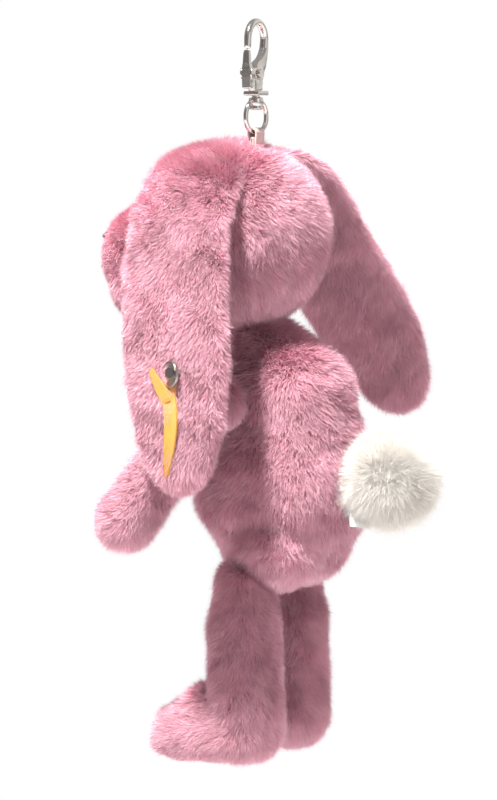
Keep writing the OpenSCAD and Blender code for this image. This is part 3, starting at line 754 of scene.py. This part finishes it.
# %% Ears
def path_of(points, steps):
    """Evenly spaced points on a smooth curve through the given ones."""
    pts = [Vector(p) for p in points]
    pts = [2 * pts[0] - pts[1]] + pts + [2 * pts[-1] - pts[-2]]
    fine = []
    for i in range(1, len(pts) - 2):
        a, b, c, d = pts[i - 1:i + 3]
        for t in np.linspace(0, 1, 40, endpoint=False):
            fine.append(0.5 * (2 * b + (c - a) * t + (2 * a - 5 * b + 4 * c - d) * t ** 2
                               + (3 * b - a - 3 * c + d) * t ** 3))
    fine.append(pts[-2])
    far = np.cumsum([0] + [(fine[i + 1] - fine[i]).length for i in range(len(fine) - 1)])
    even = np.linspace(0, far[-1], steps)
    return [Vector([np.interp(e, far, [f[k] for f in fine]) for k in range(3)]) for e in even], far[-1]


def ear_skin(name, path_points, across, stations):
    """A flat bag along a path. Each station gives its half width, half thickness and curl round the head."""
    rings, around = 56, 40
    path, total = path_of(path_points, rings + 1)
    select()
    bpy.ops.mesh.primitive_uv_sphere_add(segments=around, ring_count=rings, radius=1)
    o = bpy.context.object
    o.name = o.data.name = name
    wide = Vector(across).normalized()
    for v in o.data.vertices:
        share = math.acos(max(-1, min(1, v.co.z))) / math.pi
        i = min(share * rings, rings - 1e-6)
        k = int(i)
        at = path[k].lerp(path[k + 1], i - k)
        ahead = (path[min(k + 2, rings)] - path[max(k - 1, 0)]).normalized()
        out = wide.cross(ahead).normalized()
        side = ahead.cross(out).normalized()
        w, d, curl = (np.interp(share, [q[0] for q in stations], [q[k] for q in stations]) for k in (1, 2, 3))
        w, d = w * MM, d * MM
        a = math.atan2(v.co.y, v.co.x) if abs(v.co.z) < 0.99999 else 0
        flat = 0 if abs(v.co.z) >= 0.99999 else 1
        c, sn = math.cos(a), math.sin(a)
        v.co = at + side * (w * c * flat) + out * (d * sn * abs(sn) ** -0.25 * flat if sn else 0)
        v.co -= out * (curl * (w * c * flat) ** 2 / (2 * skull_r))
    done(o)
    edit(o, lambda c, n: True)
    bpy.ops.mesh.normals_make_consistent(inside=False)
    select(o)
    return o


fold_l, fold_r = AT["ear_left"], AT["ear_right"]


def on_skull(s, degrees, out, y):
    """A point over the skull on the side s, so many degrees from its top and so far from its middle."""
    t = math.radians(degrees)
    return skull + Vector((s * out * math.sin(t), 0, out * math.cos(t))) * MM + Vector((0, y * MM - skull.y, 0))


left_path = [on_skull(1, 10, 18.4, -6.3), on_skull(1, 32, 20.4, -6.8), on_skull(1, 54, 22.6, -6.8)]
left_path += [Vector(q) * MM for q in ((24.8, -6.0, -40.3), (28.4, -5.0, -49.5), (30.8, -3.9, -59.5), (32.6, -2.6, -68.5),
                                       (34.3, -1.2, -79.5), (35.6, 0.0, -90.6), (36.4, 0.9, -98.6))]
right_path = [on_skull(-1, 12, 17.0, -4.6), on_skull(-1, 32, 17.7, -4.0), on_skull(-1, 50, 19.2, -2.8)]
right_path += [Vector(q) * MM for q in ((-21.4, -1.2, -38.5), (-30.0, 1.0, -48.5), (-38.4, 3.0, -58.5), (-45.9, 5.0, -68.0),
                                        (-53.2, 7.4, -78.6), (-57.8, 9.0, -88.2))]
ear_stations = [(0, 5.0, 0.6, 1.0), (0.08, 9.0, 1.6, 1.0), (0.18, 10.3, 1.9, 0.9), (0.29, 10.7, 2.0, 0.6),
                (0.39, 10.8, 2.1, 0.3), (0.50, 11.2, 2.4, 0.1), (0.61, 11.5, 2.6, 0), (0.74, 10.9, 2.7, 0),
                (0.85, 9.2, 2.5, 0), (0.93, 7.0, 2.1, 0), (0.975, 4.6, 1.5, 0), (1, 1.6, 0.7, 0)]
for side, s, points, across, seed in (("left", 1, left_path, (0, -1, 0), 53),
                                      ("right", -1, right_path, (math.sin(math.radians(12)), -1, 0), 59)):
    body, fold = f"ear_{side}", AT["ear_" + side]
    skin = ear_skin(body + "_skin", points, across, ear_stations)
    skin.data.materials.append(pink_skin)
    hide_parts(f"{body}_plush", f"{body}_wadding", f"{body}_lining", f"ear_root_{side}")
    path, _ = path_of(points, 60)
    spine = np.array([list(q) for q in path])
    ahead = unit(np.gradient(spine, axis=0))

    def comb(p, n, spine=spine, ahead=ahead):
        near = ((p[:, None, :] - spine[None]) ** 2).sum(2).argmin(1)
        return ahead[near]

    pile = lay_pile(body + "_pile", skin, 190000, comb, seed, length=2.4, rise=0.68)
    pile.data.materials.append(pink_pile)
    for o in (skin, pile):
        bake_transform(o)

# %% [markdown]
# ### Tail
#
# A loose tuft of long ivory fibres that stand out on every side and droop at their tips.

# %% Tail
lo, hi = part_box("tail_pompom")
tail_c = Vector((0, hi.y - 11.8 * MM, (lo.z + hi.z) / 2 - 0.3 * MM))
core = stuffed("tail_core", [ball(tail_c + Vector((0, -0.6, 0)) * MM, 7.4 * MM),
                             ball(tail_c + Vector((0, -3.5, 0)) * MM, 5.6 * MM)], 0.6)
give(core, ivory_skin, "tail")
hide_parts("tail_pompom")


def tail_comb(p, n):
    return np.stack([0.3 * np.sin(p[:, 2] * 900), 0.4 + 0 * p[:, 1], -0.6 + 0 * p[:, 1]], 1)


tail_pile = lay_pile("tail_pile", core, 130000, tail_comb, 71, length=4.8, width=0.12, rise=0.95, stray=1.3,
                     clump=0.42, clump_size=1.9, wild=0.55, droop=0.10)
give(tail_pile, ivory_pile, "tail")

# %% [markdown]
# ## The swivel hook
#
# The hook is a zinc casting: a round bar that arches over, thickens into a flat body and
# ends in a square flange. Its edges are all rounded by the mould and the plating. A ball
# with many rings is drawn out along the bar and the body, with a width, a depth and a
# squareness for every station, so that one closed skin runs through both. The flange is a
# rounded plate joined to it.

# %% Castings drawn out along a line
def casting(name, stations, rings=90, around=28, square=2.0):
    """Stations are x, z, half width in the hook's plane, half depth across it and squareness."""
    table = np.array([tuple(q) + ((square,) if len(q) == 4 else ()) for q in stations], float)
    along = np.concatenate([[0], np.cumsum(np.linalg.norm(np.diff(table[:, :2], axis=0), axis=1))])
    select()
    bpy.ops.mesh.primitive_uv_sphere_add(segments=around, ring_count=rings, radius=1)
    o = bpy.context.object
    o.name = o.data.name = name
    at = lambda t, k: np.interp(t * along[-1], along, table[:, k])
    for v in o.data.vertices:
        share = math.acos(max(-1, min(1, v.co.z))) / math.pi
        end = min(1, (min(share, 1 - share) * rings / 2.2) ** 0.5)
        dx, dz = at(min(share + 0.01, 1), 0) - at(max(share - 0.01, 0), 0), at(min(share + 0.01, 1), 1) - at(
            max(share - 0.01, 0), 1)
        size = math.hypot(dx, dz)
        nx, nz = dz / size, -dx / size
        a = math.atan2(v.co.y, v.co.x)
        power = 2 / at(share, 4)
        c = math.copysign(abs(math.cos(a)) ** power, math.cos(a)) * end
        d = math.copysign(abs(math.sin(a)) ** power, math.sin(a)) * end
        w = at(share, 2) * c
        v.co = Vector((at(share, 0) + nx * w, at(share, 3) * d, at(share, 1) + nz * w)) * MM
    edit(o, lambda c, n: True)
    bpy.ops.mesh.remove_doubles(threshold=1e-7)
    bpy.ops.mesh.normals_make_consistent(inside=False)
    return done(o)


# %% Hook body
arch = [(4.0 * math.cos(math.radians(t)), -3 + 3.85 * math.sin(math.radians(t)), 0.75, 0.8 + 0.15 * t / 180)
        for t in range(0, 181, 12)]
bar = casting("hook_bar", [(4.0, -5.1, 0.62, 0.66, 2.6), (4.05, -4.2, 0.72, 0.76)] + arch
              + [(-3.75, -5, 0.85, 1.0, 2.2), (-3.1, -6.6, 1.1, 1.0, 3), (-2.0, -8.3, 1.6, 1.0, 4), (-0.4, -9.6, 2.1, 1.0, 5),
                 (0.3, -11.4, 2.25, 1.0, 5), (0.3, -13.0, 2.0, 1.0, 5), (0.2, -14.5, 1.9, 1.0, 5)], 150)


def plate(name, lo, hi, edge, segments=3):
    """A rounded plate between two corners, in millimetres."""
    lo, hi = Vector(lo) * MM, Vector(hi) * MM
    select()
    bpy.ops.mesh.primitive_cube_add(size=1, location=(lo + hi) / 2)
    o = bpy.context.object
    o.name = name
    o.scale = hi - lo
    bpy.ops.object.transform_apply(location=True, rotation=True, scale=True)
    edit(o, lambda c, n: True)
    bpy.ops.mesh.bevel(offset=edge * MM, segments=segments, affect="EDGES")
    return done(o, 40)


flange = plate("hook_flange", (-2.45, -1.9, -15.2), (2.45, 1.9, -14.2), 0.22)
hook = joined("hook_casting", [bar, flange])
give(hook, chrome, "hook")
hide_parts("hook_body")
print("hook casting", len(hook.data.polygons), "faces")

# %% Trigger
gate = casting("trigger_gate", [(4.15, -5.16, 0.45, 0.60, 4), (4.3, -6.0, 0.52, 0.80, 4), (4.4, -8.0, 0.55, 0.90, 4),
                                (4.3, -8.6, 0.62, 1.0, 6), (4.2, -9.2, 0.72, 1.08, 8), (4.15, -11.0, 0.75, 1.10, 8),
                                (4.1, -13.7, 0.70, 1.04, 8)], 90)
cheeks = []
for side in (-1, 1):
    select()
    bpy.ops.mesh.primitive_cylinder_add(vertices=40, radius=1.5 * MM, depth=0.36 * MM, rotation=(math.pi / 2, 0, 0),
                                        location=Vector((1.5, side * 1.24, -10.4)) * MM)
    disc = done(bpy.context.object)
    edit(disc, lambda c, n: c.x > 2.2 * MM)
    bpy.ops.transform.translate(value=(2.0 * MM, 0, 0))
    edit(disc, lambda c, n: True)
    bpy.ops.mesh.bevel(offset=0.09 * MM, segments=2, affect="EDGES", clamp_overlap=True)
    cheeks.append(done(disc, 40))
trigger = joined("trigger_sheet", [gate] + cheeks)
give(trigger, chrome, "trigger")
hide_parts("trigger")

# %% Swivel eye
def turned(name, profile, segments=48):
    """A turned piece on the swivel's axis from pairs of radius and height, by spinning its outline."""
    select()
    bpy.ops.mesh.primitive_plane_add(size=1)
    o = bpy.context.object
    o.name = name
    edit(o, lambda c, n: True)
    bpy.ops.mesh.delete(type="VERT")
    bpy.ops.object.mode_set(mode="OBJECT")
    o.data.from_pydata([(r * MM, 0, z * MM) for r, z in profile],
                       [(i, i + 1) for i in range(len(profile) - 1)], [])
    edit(o, lambda c, n: True)
    bpy.ops.mesh.spin(steps=segments, angle=2 * math.pi, center=(0, 0, 0), axis=(0, 0, 1))
    bpy.ops.mesh.select_all(action="SELECT")
    bpy.ops.mesh.remove_doubles(threshold=1e-6)
    bpy.ops.mesh.normals_make_consistent(inside=False)
    return done(o, 35)


barrel = turned("eye_barrel", [(0, -14.9), (0.86, -14.9), (0.86, -15.5), (1.3, -15.6), (1.55, -15.8), (1.6, -16.1),
                               (1.6, -17.1), (1.5, -17.35), (1.28, -17.45), (1.28, -17.6), (1.5, -17.7), (1.56, -17.9),
                               (1.5, -18.15), (1.2, -18.35), (0, -18.4)])
select()
bpy.ops.mesh.primitive_torus_add(major_segments=72, minor_segments=20, major_radius=3.4 * MM, minor_radius=0.52 * MM,
                                 rotation=(math.pi / 2, 0, math.radians(-14)), location=(0, 0, -19.55 * MM))
stirrup = done(bpy.context.object)
edit(stirrup, lambda c, n: c.z < -19.56 * MM)
bpy.ops.transform.translate(value=(0, 0, -0.45 * MM))
done(stirrup)
eye = joined("swivel_stirrup", [barrel, stirrup])
give(eye, chrome, "swivel")
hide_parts("swivel_eye")

# %% [markdown]
# ## Ribbon, tape and label
#
# Narrow woven goods are flat strips, cut to length and bent. Each starts as a grid whose
# map keeps the cut size, is laid along a line of points, and gets its thickness last.

# %% Strips of woven cloth
def strip(name, points, across, widths, thick, rows=48, columns=6, bow=0.0):
    """A strip along points. widths are its half widths at even steps, and across is one direction."""
    line, length = path_of(points, rows + 1)
    select()
    bpy.ops.mesh.primitive_grid_add(x_subdivisions=columns, y_subdivisions=rows, size=2)
    o = bpy.context.object
    o.name = o.data.name = name
    o.data.uv_layers[0].name = "Cloth"
    aside = Vector(across).normalized()
    for v in o.data.vertices:
        share = (v.co.y + 1) / 2
        i = min(int(round(share * rows)), rows)
        ahead = (line[min(i + 1, rows)] - line[max(i - 1, 0)]).normalized()
        out = aside.cross(ahead).normalized()
        w = np.interp(share, np.linspace(0, 1, len(widths)), widths) * MM
        v.co = line[i] + aside * (v.co.x * w) + out * (bow * MM * (1 - v.co.x ** 2))
    modify(o, "SOLIDIFY", thickness=thick * MM, offset=0)
    edit(o, lambda c, n: True)
    bpy.ops.mesh.normals_make_consistent(inside=False)
    done(o, 50)
    print(name, "cut", round(2 * max(widths), 2), "by", round(length / MM, 2), "mm")
    return o, length


lo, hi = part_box("ribbon_loop")
half_w, bow_y = (hi.x - lo.x) / 2 / MM - 0.1, 0.95 * MM
bar_z = -23.3 * MM
ribbon_points = [Vector((0, -bow_y * 0.8, lo.z + 0.3 * MM)), Vector((0, -bow_y * 0.92, bar_z - 1.2 * MM))]
ribbon_points += [Vector((0, -bow_y * math.cos(math.radians(t)), bar_z + bow_y * math.sin(math.radians(t))))
                  for t in range(0, 181, 30)]
ribbon_points += [Vector((0, bow_y * 0.92, bar_z - 1.2 * MM)), Vector((0, bow_y * 0.8, lo.z + 0.3 * MM))]
ribbon, cut = strip("satin_ribbon", ribbon_points, (1, 0, 0), [half_w, half_w * 0.96, half_w * 0.9, half_w * 0.96, half_w],
                    0.32, 60, 8)
under, _ = strip("ribbon_under", [Vector((0, y, z)) * MM for y, z in ((-0.3, -27), (-0.28, -25.4), (-0.2, -24.5), (0.2, -24.5),
                                                                      (0.28, -25.4), (0.3, -27))],
                 (1, 0, 0), [half_w * 0.96] * 3, 0.32, 40, 8)
ribbon = joined("satin_ribbon", [ribbon, under])
give(ribbon, ribbon_satin, "head")
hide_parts("ribbon_loop")

# %% Rivet
cap = bpy.data.objects["rivet_cap"]
cap_points = np.array([list(v.co) for v in cap.data.vertices])
ear_hide = bpy.data.objects["ear_left_skin"]


def on_ear(y, z, above=0.0):
    """A point on the outer face of the left ear, so many millimetres above its skin."""
    hit, at, normal, _ = ear_hide.ray_cast(Vector((70, y, z)) * MM, Vector((-1, 0, 0)))
    return at + normal * above * MM, normal


rivet_at, rivet_out = on_ear(-1.5, -74.0, 1.35)
rivet_out = Vector((0.88, -0.46, 0.05)).normalized()
select()
bpy.ops.mesh.primitive_cylinder_add(vertices=56, radius=2.9 * MM, depth=0.55 * MM)
head = bpy.context.object
edit(head, lambda c, n: n.z > 0.9, "FACE")
bpy.ops.mesh.inset(thickness=0.42 * MM, depth=0)
bpy.ops.mesh.inset(thickness=0.12 * MM, depth=-0.16 * MM)
for step in range(3):
    bpy.ops.mesh.inset(thickness=0.7 * MM, depth=0.03 * MM)
edit(head, lambda c, n: math.hypot(c.x, c.y) > 2.8 * MM and c.z > 0)
bpy.ops.mesh.bevel(offset=0.16 * MM, segments=3, affect="EDGES")
bpy.ops.object.mode_set(mode="OBJECT")
head.rotation_euler = rivet_out.to_track_quat("Z", "Y").to_euler()
head.location = rivet_at
done(head, 35)
rivet = joined("rivet_head", [head])
give(rivet, old_nickel, "ear_left")
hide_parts("rivet_cap")

# %% Tape
tape_line = [on_ear(-1.6, -74.6, 0.75)[0], on_ear(-1.4, -78.2, 1.0)[0], on_ear(-0.5, -83.6, 1.6)[0],
             on_ear(-0.6, -89.0, 1.7)[0], on_ear(-1.6, -95.2, 1.4)[0]]
tape, tape_cut = strip("folded_tape", tape_line, (0.05, 1, 0.0), [1.6, 1.55, 1.55, 1.5, 1.45, 1.25, 0.9, 0.35], 0.5, 60, 6,
                       0.18)
wing, _ = strip("tape_wing", [on_ear(y, z, up)[0] for y, z, up in ((-5.9, -73.0, 1.6), (-4.5, -75.4, 1.5), (-2.9, -77.8, 1.4),
                                                               (-1.9, -79.8, 1.2))],
                (0.1, 0.85, 0.53), [0.5, 0.95, 1.25, 1.3], 0.45, 16, 4)
tape = joined("folded_tape", [tape, wing])
give(tape, tape_yellow, "ear_left")
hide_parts("ear_tape")

# %% Care label
lo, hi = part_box("care_label")
top = Vector((4.2 * MM, hi.y - 1.6 * MM, hi.z + 0.6 * MM))
label, label_cut = strip("care_label_satin", [top, top + Vector((1.0, 1.3, -1.4)) * MM, top + Vector((1.9, 1.9, -3.2)) * MM,
                                             top + Vector((2.6, 2.3, -5.2)) * MM],
                         (0.85, -0.5, 0.2), [2.6, 2.7, 2.7, 2.6], 0.16, 32, 12, 0.5)
give(label, label_satin, "torso")
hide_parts("care_label")

# %% [markdown]
# ## Face and small parts
#
# The eyes are glossy domes. Nose and mouth are worked in thick thread straight on the
# plush: one stitch is modelled and copied, side by side for the nose and end to end for
# the mouth.

# %% Nose and mouth
def on_face(x, z, above=0.0):
    """A point on the front of the head, so many millimetres above its skin."""
    hit, at, normal, _ = bpy.data.objects["head_skin"].ray_cast(Vector((x * MM, -0.08, z * MM)), Vector((0, 1, 0)))
    return at + normal * above * MM


select()
bpy.ops.mesh.primitive_uv_sphere_add(segments=14, ring_count=18, radius=1)
pattern = bpy.context.object
pattern.data.uv_layers[0].name = "Cloth"


def stitch(a, b, thick=0.32):
    """One stitch of thread from a to b, a copy of the pattern."""
    mesh = pattern.data.copy()
    o = bpy.data.objects.new("stitch", mesh)
    bpy.context.scene.collection.objects.link(o)
    o.location = (a + b) / 2
    o.rotation_euler = (b - a).to_track_quat("Z", "Y").to_euler()
    o.scale = (thick * MM, thick * MM, (b - a).length / 2 + 0.2 * MM)
    select(o)
    bpy.ops.object.transform_apply(location=True, rotation=True, scale=True)
    bpy.ops.object.shade_smooth()
    return o


nose_mm = nose_at / MM
nose_rows = []
for k in range(-7, 8):
    x = k * 0.42
    drop = 2.9 * (1 - abs(k) / 8.5) + 0.5
    nose_rows.append(stitch(on_face(x, nose_mm.z + 1.2 - 0.03 * k * k, 1.15), on_face(x, nose_mm.z + 1.2 - drop, 1.15)))
nose = joined("nose_stitches", nose_rows)
give(nose, nose_thread, "head")
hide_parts("nose_embroidery")
mouth_rows = [stitch(on_face(0, nose_mm.z - 2.2, 1.0), on_face(0, nose_mm.z - 5.4, 0.9), 0.26)]
for side in (-1, 1):
    mouth_rows += [stitch(on_face(0, nose_mm.z - 5.4, 0.9), on_face(side * 1.9, nose_mm.z - 6.6, 0.9), 0.26),
                   stitch(on_face(side * 1.9, nose_mm.z - 6.6, 0.9), on_face(side * 3.9, nose_mm.z - 6.2, 0.9), 0.26)]
mouth = joined("mouth_stitches", mouth_rows)
give(mouth, nose_thread, "head")
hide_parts("mouth_embroidery")

# %% Tail tie
lo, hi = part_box("tail_tie")
tie_c, tie_r = (lo + hi) / 2, (hi.x - lo.x) / 2
winds = []
for k in range(5):
    select()
    bpy.ops.mesh.primitive_torus_add(major_segments=36, minor_segments=10, major_radius=tie_r * (0.84 + 0.05 * (k % 2)),
                                     minor_radius=0.3 * MM, rotation=(math.pi / 2, 0.05 * (k - 2), 0),
                                     location=(tie_c.x, lo.y + (k + 0.7) * (hi.y - lo.y) / 5.6, tie_c.z))
    wind = done(bpy.context.object)
    wind.data.uv_layers[0].name = "Cloth"
    winds.append(wind)
select()
bpy.ops.mesh.primitive_cylinder_add(vertices=24, radius=tie_r * 0.7, depth=(hi.y - lo.y), rotation=(math.pi / 2, 0, 0),
                                    location=tie_c)
bundle = done(bpy.context.object, 30)
bundle.data.uv_layers[0].name = "Cloth"
tie = joined("tail_binding", winds + [bundle])
give(tie, tie_thread, next(b for b, ns in frame["record"]["behaviour"]["bodies"].items() if "tail_tie" in ns))
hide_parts("tail_tie")
bpy.data.objects.remove(pattern)

# %% Finishes of the pieces that keep their solid shape
for name, finish in (("hook_pivot_pin", chrome), ("trigger_spring", spring_steel), ("rivet_shank", old_nickel),
                     ("eye_left", eye_gloss), ("eye_right", eye_gloss), ("eye_washer_left", washer_plastic),
                     ("eye_washer_right", washer_plastic), ("ribbon_bartack", bartack_thread)):
    o = bpy.data.objects[name]
    for place in o.material_slots:
        place.material = finish
    print(name, "finished in", finish.name)
